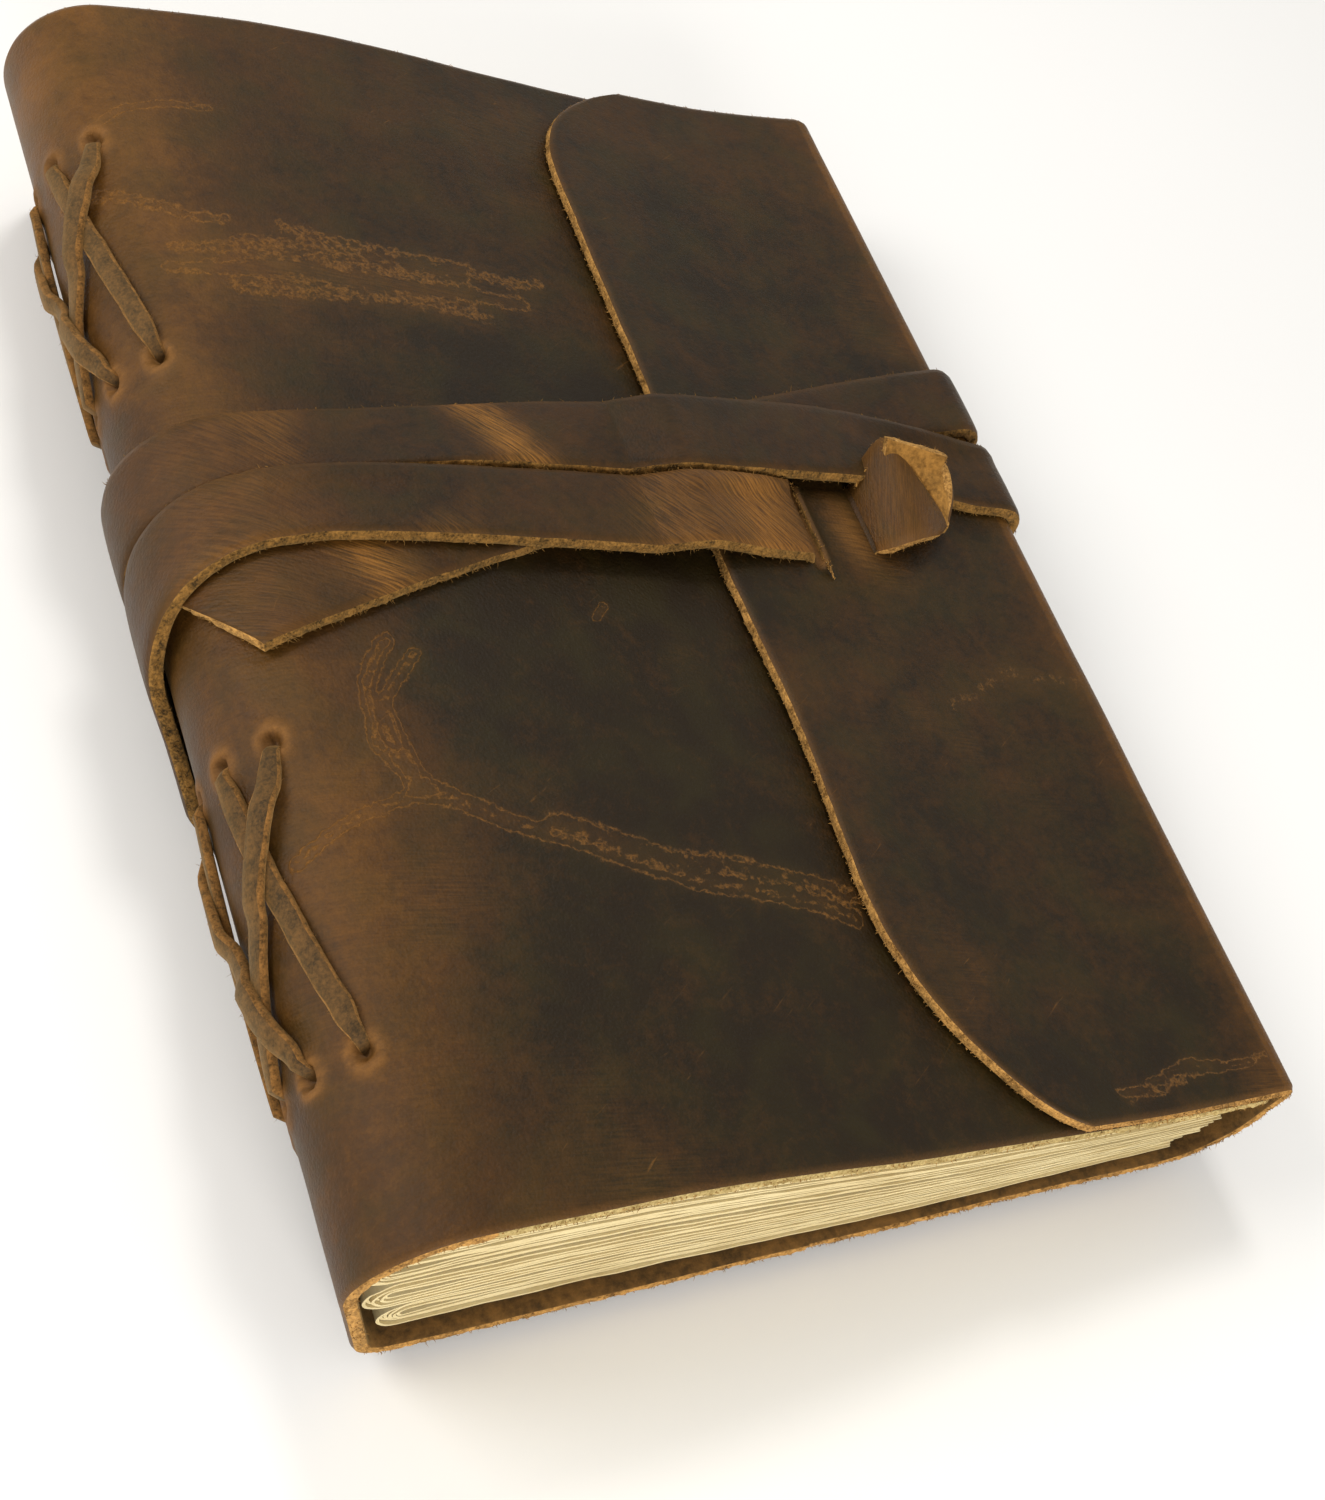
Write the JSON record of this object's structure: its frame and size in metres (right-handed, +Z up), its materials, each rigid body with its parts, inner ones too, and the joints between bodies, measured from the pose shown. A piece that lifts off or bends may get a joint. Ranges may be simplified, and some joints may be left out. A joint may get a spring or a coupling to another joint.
{
  "type": "leather notebook cover",
  "caption": "Wrap journal with a leather cover, fold-over flap, laced spine, sewn paper signatures and a strap knotted on the flap and wound round the closed book.",
  "frame": {"origin": "centre of the closed book's footprint, on the surface that it lies on (the undersides of the strap's back lengths)", "axes": "+X from the spine to the fore-edge, +Y from the tail to the head, +Z up out of the front cover"},
  "size_m": [0.1372, 0.178, 0.0413],
  "materials": {
    "cover_leather": "oiled pull-up leather, dark olive brown, rubbed",
    "strap_leather": "oiled leather strap with raw tan edges",
    "thong_leather": "tan suede-sided lacing thong",
    "paper": "uncoated cream paper with slightly uneven edges"
  },
  "bodies": {
    "book": {"back_panel": "cover_leather", "spine_panel": "cover_leather", "fore_edge_turn": "cover_leather", "signature_2": "paper", "signature_3": "paper", "signature_4": "paper", "tail_lace_1": "thong_leather", "tail_lace_2": "thong_leather", "tail_lace_3": "thong_leather", "tail_lace_4": "thong_leather", "head_lace_1": "thong_leather", "head_lace_2": "thong_leather", "head_lace_3": "thong_leather", "head_lace_4": "thong_leather", "tail_stitch_2": "thong_leather", "head_stitch_2": "thong_leather", "tail_stitch_3": "thong_leather", "head_stitch_3": "thong_leather", "tail_stitch_4": "thong_leather", "head_stitch_4": "thong_leather"},
    "front_cover": {"front_panel": "cover_leather"},
    "flap": {"flap": "cover_leather", "strap_anchor": "strap_leather", "knot": "strap_leather"},
    "strap": {"strap_front_lower": "strap_leather", "strap_spine_lower": "strap_leather", "strap_back_lower": "strap_leather", "strap_fore_lower": "strap_leather", "strap_front_upper": "strap_leather", "strap_spine_upper": "strap_leather", "strap_back_upper": "strap_leather", "strap_fore_upper": "strap_leather", "strap_tail": "strap_leather"},
    "first_signature": {"signature_1": "paper", "tail_stitch_1": "thong_leather", "head_stitch_1": "thong_leather"}
  },
  "joints": [
    {"name": "cover_hinge", "type": "hinge", "parent": "book", "child": "front_cover", "pos_m": [-0.05668, 0, 0.0373], "axis": [0, -1, 0], "range_deg": [0, 170]},
    {"name": "flap_hinge", "type": "hinge", "parent": "book", "child": "flap", "pos_m": [0.06632, 0, 0.02145], "axis": [0, 1, 0], "range_deg": [0, 175], "deforming": ["flap", "strap_anchor", "knot"]},
    {"name": "strap_slide", "type": "slide", "parent": "book", "child": "strap", "axis": [0, 1, 0], "range_m": [0, 0.125], "deforming": ["strap_front_lower", "strap_spine_lower", "strap_back_lower", "strap_fore_lower", "strap_front_upper", "strap_spine_upper", "strap_back_upper", "strap_fore_upper", "strap_tail"]},
    {"name": "first_signature_hinge", "type": "hinge", "parent": "book", "child": "first_signature", "pos_m": [-0.05518, 0, 0.03343], "axis": [0, -1, 0], "range_deg": [0, 30]}
  ],
  "couplings": [
    {"joint": "flap_hinge", "follows": "cover_hinge", "ratio": 1.0294},
    {"joint": "strap_slide", "follows": "cover_hinge", "m_per_rad": 0.042129},
    {"joint": "first_signature_hinge", "follows": "cover_hinge", "ratio": 0.17647}
  ]
}
